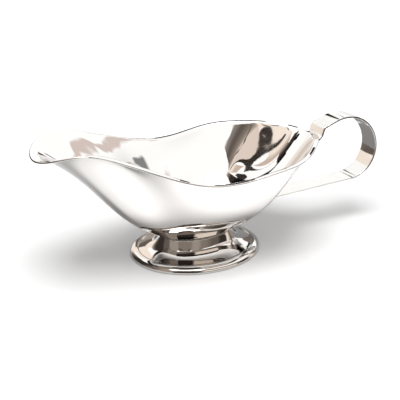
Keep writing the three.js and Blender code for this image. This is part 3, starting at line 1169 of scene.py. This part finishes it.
SCREENS = (
    Screen("low_surround", 170, (
        (84, 0, 50, TAUPE), (92, 0, 85, UMBER), (97, 0, 90, BEIGE), (103, 0, 95, CREAM),
        (108, 0, 100, BEIGE), (112, 0, 100, UMBER), (119, 0, 100, SOOT), (128, 0, 100, SOOT),
        (131, 0, 100, UMBER), (145, 0, 100, BROWN), (152, 0, 115, TAUPE), (170, 0, 145, TAUPE),
        (182, 0, 168, BEIGE), (197, 0, 190, BEIGE), (203, 0, 200, BROWN), (212, 0, 213, BROWN),
        (219, 0, 220, BEIGE), (232, 0, 228, TAUPE), (255, 0, 232, TAUPE), (262, 0, 232, UMBER),
        (278, 0, 232, UMBER), (286, 0, 220, SOOT), (309, 0, 200, SOOT), (316, 0, 150, SOOT),
        (324, 0, 140, UMBER), (330, 0, 110, TAUPE), (336, 0, 80, CREAM), (350, 0, 80, CREAM),
        (352, 0, 70, UMBER), (356, 0, 80, UMBER), (359, 0, 90, TAUPE), (362, 0, 90, TAUPE),
        (372, 0, 60, SLATE), (430, 0, 55, SLATE), (444, 0, 50, TAUPE),
    )),
    Screen("near_surround", 180, (
        (128, 45, 94, SOOT), (145, 45, 94, SOOT), (155, 45, 90, SOOT), (163, 30, 88, UMBER),
        (166.5, 0, 88, UMBER), (172.7, 0, 94, UMBER), (181.9, 0, 98, BROWN), (186.4, 0, 116, BROWN),
        (190, 0, 120, TAUPE), (196, 0, 122, TAUPE), (199, 0, 122, BROWN), (218, 0, 120, BROWN),
    ), 86, 20),
    Screen("neck_paper", 179, (
        (166.5, 14, 44, CREAM), (194, 14, 44, CREAM), (197, 14, 44, SOOT), (218, 14, 44, SOOT),
    ), 85.4, 20),
    Screen("neck_top", 179, plain(UMBER, (199, 88, 130), (206, 88, 150), (219, 88, 150)), 85.4, 20),
    Screen("neck_line", 179, plain(BLACK, (166.5, 0, 14), (190, 0, 14), (218, 0, 14)), 85.4, 20),
    Screen("rose_board", 600, (
        (60, 230, 330, WHITE), (65, 215, 350, ROSE), (72, 220, 360, ROSE), (80, 270, 420, ROSE),
        (92, 290, 470, ROSE), (107, 330, 500, ROSE), (115, 400, 600, ROSE), (120, 420, 660, ROSE),
        (126, 350, 650, ROSE), (131, 290, 590, ROSE), (136, 280, 540, WHITE),
    ), soft=0.2),
    Screen("grey_card", 600, (
        (81, 150, 190, WHITE), (86, 150, 205, SLATE), (96, 155, 224, SLATE), (105, 170, 244, SLATE),
        (110, 190, 240, WHITE),
    ), soft=0.15),
    # Painted shade: these two dark boards stand in for the shadowed floor beyond the handle, as the
    # handle's inner face mirrors it.
    Screen("loop_shadow_board", 130, plain(SLATE, (364, 0, 30), (390, 0, 30), (422, 0, 40)), 60),
    Screen("loop_top", 130, (
        (364, 30, 50, UMBER), (388, 30, 50, UMBER), (396, 30, 44, BROWN),
    ), 60),
    Screen("rim_board", 600, plain(SOOT, (12, 180, 450), (22, 180, 450), (33.5, 180, 450))),
    Screen("rim_end", 600, plain(SOOT, (40, 305, 400), (43, 305, 400))),
    Screen("thin_edge", 598, plain(
        SOOT, (248.8, 724, 741), (249.6, 712, 725), (251.2, 681, 693), (252.8, 649, 660),
        (254.1, 638, 648),
    )),
    Screen("dark_arm", 599, plain(SOOT, (254.95, 870, 950), (255.4, 870, 950))),
    Screen("dark_band", 599, plain(
        SOOT, (254.5, 785, 830), (254.75, 757, 835), (255.1, 740, 835), (255.35, 733, 805),
        (255.6, 726, 775), (255.85, 722, 740), (256.5, 708, 724), (257.2, 692, 709), (258.3, 677, 698),
        (259.7, 671, 692), (261, 675, 695), (262.3, 696, 712), (263.4, 724, 740), (264.6, 758, 776),
    )),
    Screen("brown_board", 602, (
        (225, 590, 612, CREAM), (230, 590, 640, SLATE), (235, 590, 665, BROWN), (240, 590, 700, UMBER),
        (244, 590, 725, UMBER), (249, 590, 770, BROWN), (251.5, 590, 830, TAUPE),
        (252.8, 600, 870, PUTTY), (253.2, 600, 760, BISQUE), (255, 600, 740, BISQUE),
        (258, 600, 700, BISQUE), (262, 640, 680, BISQUE),
    )),
    Screen("cream_board", 603, (
        (252, 700, 960, CREAM), (257, 725, 900, CREAM), (259.5, 726, 850, PUTTY),
        (262.2, 718, 820, PUTTY),
    )),
    Screen("far_board", 172, plain(CREAM, (345, 60, 140), (350, 70, 165), (365, 70, 175))),
    Screen("black_bar", 120, (
        (260, 238, 254, BEIGE), (263, 234, 256, BROWN), (265.5, 232, 258, UMBER), (267, 231, 264, SOOT),
        (271, 231, 272, SOOT), (274, 231, 279, BLACK), (277.5, 231, 281, BLACK), (278, 231, 241, BLACK),
        (284, 228, 237, BLACK),
    )),
    Screen("bar_top", 120, plain(BLACK, (277.5, 262, 281), (284, 262, 276))),
    Screen("band_tail", 600, (
        (263, 822, 870, UMBER), (265, 806, 880, SOOT), (266.1, 800, 900, SOOT), (266.5, 808, 900, SOOT),
        (267.5, 822, 930, SOOT), (269, 850, 980, SOOT), (270, 885, 1010, SOOT),
    )),
)


@dataclass(frozen=True)
class PaintedShadow:
    """A painted shadow: an oval on the floor inside which its glow is painted down. It has its middle, its
    reach and its soft edge.
    """

    middle: Triple
    reach: Triple
    edge: tuple[float, float]

    def fade(self, tree: Tree, dark: float, light: float) -> Socket:
        """Fades from one value inside the oval to another outside it.

        Args:
            tree: The floor's node tree.
            dark: The value inside.
            light: The value outside.

        Returns:
            The value's socket.
        """
        place = tree.nodes.new("ShaderNodeTexCoord")
        oval = tree.nodes.new("ShaderNodeMapping")
        oval.vector_type = "TEXTURE"
        feed(tree, oval, {"Vector": place.outputs["Object"], "Location": self.middle, "Scale": self.reach})
        away = tree.nodes.new("ShaderNodeVectorMath")
        away.operation = "LENGTH"
        feed(tree, away, {0: oval.outputs["Vector"]})
        return map_range(tree, away.outputs["Value"], self.edge, (dark, light), "SMOOTHSTEP")


def join(tree: Tree, operation: str, one: Socket, other: Socket) -> Socket:
    """Joins two values of a node tree by a Math node.

    Args:
        tree: The node tree.
        operation: The Math node's operation.
        one: The first value.
        other: The second value.

    Returns:
        The joined value's socket.
    """
    node = tree.nodes.new("ShaderNodeMath")
    node.operation = operation
    feed(tree, node, {0: one, 1: other})
    return node.outputs["Value"]


@dataclass
class Studio:
    """The pale floor with painted shadows in its glow, the tent, the softbox and the screens. Sizes are in
    metres.
    """

    floor_side: float = 6
    floor_colour: Triple = (0.86, 0.86, 0.86)
    floor_roughness: float = 0.9
    # Painted shadow: the floor's glow for camera rays is painted down in a wide oval round the boat, which
    # deepens its real shadow.
    shade: PaintedShadow = PaintedShadow((0, 0.015, 0), (0.12, 0.045, 1), (1, 9))
    # Painted shadows that the metal mirrors: the floor's glow for glossy rays is painted out under the
    # bowl, round the foot and beyond the handle.
    painted_bowl_shadow: PaintedShadow = PaintedShadow((-0.01, 0.04, 0), (0.115, 0.05, 1), (0.8, 1.15))
    painted_foot_shadow: PaintedShadow = PaintedShadow((-0.016, 0, 0), (0.04, 0.034, 1), (1, 1.6))
    painted_loop_shadow: PaintedShadow = PaintedShadow((0.06, 0.12, 0), (0.14, 0.085, 1), (0.7, 1.2))
    glow_seen: tuple[float, float] = (0.15, 0.8)
    glow_mirrored: float = 0.6
    fill: float = 0.35
    tent_rise: tuple[float, float] = (0.02, 0.35)
    tent_glow: tuple[float, float] = (1.05, 1.45)
    softbox_side: float = 0.7
    softbox_place: Triple = (-0.15, -0.22, 1.1)
    softbox_power: float = 11.5
    screens: tuple[Screen, ...] = SCREENS

    def build_floor(self) -> None:
        """Lays the floor: white away from the boat, its shadow kept and deepened by painted shadow, also
        when mirrored.
        """
        deselect_all()
        bpy.ops.mesh.primitive_plane_add(size=self.floor_side, location=(0, 0, 0))
        floor = name_new("floor")
        made = bpy.data.materials.new("floor_white")
        made.use_nodes = True
        tree = made.node_tree
        path = tree.nodes.new("ShaderNodeLightPath")
        # Painted shadow for the camera: the glow rises from dark in the oval round the boat to light away
        # from it.
        seen = join(tree, "MULTIPLY", path.outputs["Is Camera Ray"], self.shade.fade(tree, *self.glow_seen))
        # Painted shadows for the metal: the mirrored glow is 0 in the ovals under the bowl, round the foot
        # and beyond the handle.
        mirrored = self.painted_bowl_shadow.fade(tree, 0, self.glow_mirrored)
        for shadow in (self.painted_foot_shadow, self.painted_loop_shadow):
            mirrored = join(tree, "MULTIPLY", mirrored, shadow.fade(tree, 0, 1))
        mirrored = join(tree, "MULTIPLY", path.outputs["Is Glossy Ray"], mirrored)
        feed(tree, tree.nodes["Principled BSDF"], {
            "Base Color": (*self.floor_colour, 1),
            "Roughness": self.floor_roughness,
            "Specular IOR Level": 0,
            "Emission Color": (1, 1, 1, 1),
            "Emission Strength": join(tree, "ADD", seen, mirrored),
        })
        floor.data.materials.append(made)

    @staticmethod
    def mix_paint() -> bpy.types.Material:
        """Mixes the screens' paint, which takes each post's shade from the mesh.

        Returns:
            The paint, an even glow.
        """
        made = bpy.data.materials.new("screen_paint")
        made.use_nodes = True
        tree = made.node_tree
        tree.nodes.remove(tree.nodes["Principled BSDF"])
        shade = tree.nodes.new("ShaderNodeAttribute")
        shade.attribute_name = "shade"
        glow = tree.nodes.new("ShaderNodeEmission")
        feed(tree, glow, {"Color": shade.outputs["Color"]})
        feed(tree, tree.nodes["Material Output"], {"Surface": glow.outputs["Emission"]})
        return made

    @staticmethod
    def build_screen(screen: Screen, paint: bpy.types.Material) -> None:
        """Stands one screen up, hidden from all but the polished metal.

        Args:
            screen: Its oval and posts.
            paint: The screens' paint.
        """
        last = len(screen.posts) - 1
        shares = (0, screen.soft, 1 - screen.soft, 1) if screen.soft else (0, 1)
        rows = len(shares) - 1
        deselect_all()
        bpy.ops.mesh.primitive_grid_add(x_subdivisions=last, y_subdivisions=rows, size=2)
        paper = name_new(screen.name)
        shades = paper.data.color_attributes.new("shade", "FLOAT_COLOR", "POINT")
        for vertex in paper.data.vertices:
            turn, low, high, shade = screen.posts[round((vertex.co.x + 1) / 2 * last)]
            share = shares[round((vertex.co.y + 1) / 2 * rows)]
            vertex.co = (screen.foot_of(turn) + Vector((0, 0, lerp(low, high, share)))) * MM
            paint_here = WHITE if screen.soft and share in (0, 1) else shade
            shades.data[vertex.index].color = (*paint_here.value, 1)
        paper.data.materials.append(paint)
        paper.visible_camera = False
        paper.visible_shadow = False
        paper.visible_diffuse = False
        paper.visible_transmission = False

    def build_world(self) -> None:
        """Surrounds the boat with a white tent, brighter overhead, which lights the floor only dimly."""
        world = bpy.data.worlds.new("studio")
        world.use_nodes = True
        tree = world.node_tree
        nodes = tree.nodes
        path = nodes.new("ShaderNodeLightPath")
        parts = nodes.new("ShaderNodeSeparateXYZ")
        feed(tree, parts, {"Vector": nodes.new("ShaderNodeTexCoord").outputs["Generated"]})
        tent = map_range(tree, parts.outputs["Z"], self.tent_rise, self.tent_glow, "SMOOTHSTEP")
        mirrored = nodes.new("ShaderNodeMix")
        feed(tree, mirrored, {"Factor": path.outputs["Is Glossy Ray"], "A": self.fill, "B": tent})
        seen = nodes.new("ShaderNodeMix")
        feed(tree, seen, {"Factor": path.outputs["Is Camera Ray"], "A": mirrored.outputs["Result"], "B": 1})
        feed(tree, nodes["Background"], {"Color": (1, 1, 1, 1), "Strength": seen.outputs["Result"]})
        bpy.context.scene.world = world

    def build_softbox(self) -> None:
        """Hangs the large softbox over the boat."""
        place = Vector(self.softbox_place)
        turn = place.to_track_quat("Z", "Y")
        deselect_all()
        bpy.ops.object.light_add(type="AREA", location=place, rotation=turn.to_euler())
        softbox = name_new("softbox")
        softbox.data.shape = "SQUARE"
        softbox.data.size = self.softbox_side
        softbox.data.energy = self.softbox_power

    def build(self) -> None:
        """Sets up the whole studio."""
        self.build_floor()
        self.build_world()
        self.build_softbox()
        paint = self.mix_paint()
        for screen in self.screens:
            self.build_screen(screen, paint)


def dress(piece: bpy.types.Object, finish: Finish, slot: Slot, *nodes: str) -> None:
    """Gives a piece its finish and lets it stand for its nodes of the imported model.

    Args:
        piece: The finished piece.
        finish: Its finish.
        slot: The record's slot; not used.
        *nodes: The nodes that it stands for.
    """
    piece.data.materials.clear()
    piece.data.materials.append(finish.material())
    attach(piece, BODY)
    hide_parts(*nodes)
    corners = np.round(np.array([corner[:] for corner in piece.bound_box]) / MM, 1)
    faces = len(piece.data.polygons)
    LOG.info("%s: %d faces, from %s to %s mm", piece.name, faces, corners.min(0), corners.max(0))


def main() -> None:
    """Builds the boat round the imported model, then the camera and the studio."""
    logging.basicConfig(level=logging.INFO, format="%(name)s: %(message)s", force=True)
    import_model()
    low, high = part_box("foot")
    seat = Seat(Vector(((low.x + high.x) / 2, (low.y + high.y) / 2, low.z)))
    Camera(seat).build()
    bowl = Bowl(seat)
    foot = Foot(seat, bowl)
    handle = Handle(seat, bowl)
    dress(bowl.build(), BOWL_POLISH, Slot.POLISHED, "bowl")
    dress(foot.build(), FOOT_POLISH, Slot.POLISHED, "foot")
    dress(NeckBraze(seat, bowl, foot).build(), FILLER_DULL, Slot.FILLER, "neck_braze")
    dress(handle.build_strap(), STRAP_POLISH, Slot.STRAP, "handle_strap")
    dress(handle.build_upper_braze(), FILLER_DULL, Slot.FILLER, "handle_upper_braze")
    dress(handle.build_lower_braze(), FILLER_DULL, Slot.FILLER, "handle_lower_braze")
    Studio().build()
    bpy.context.scene.view_settings.view_transform = "Standard"


if __name__ == "__main__":
    main()
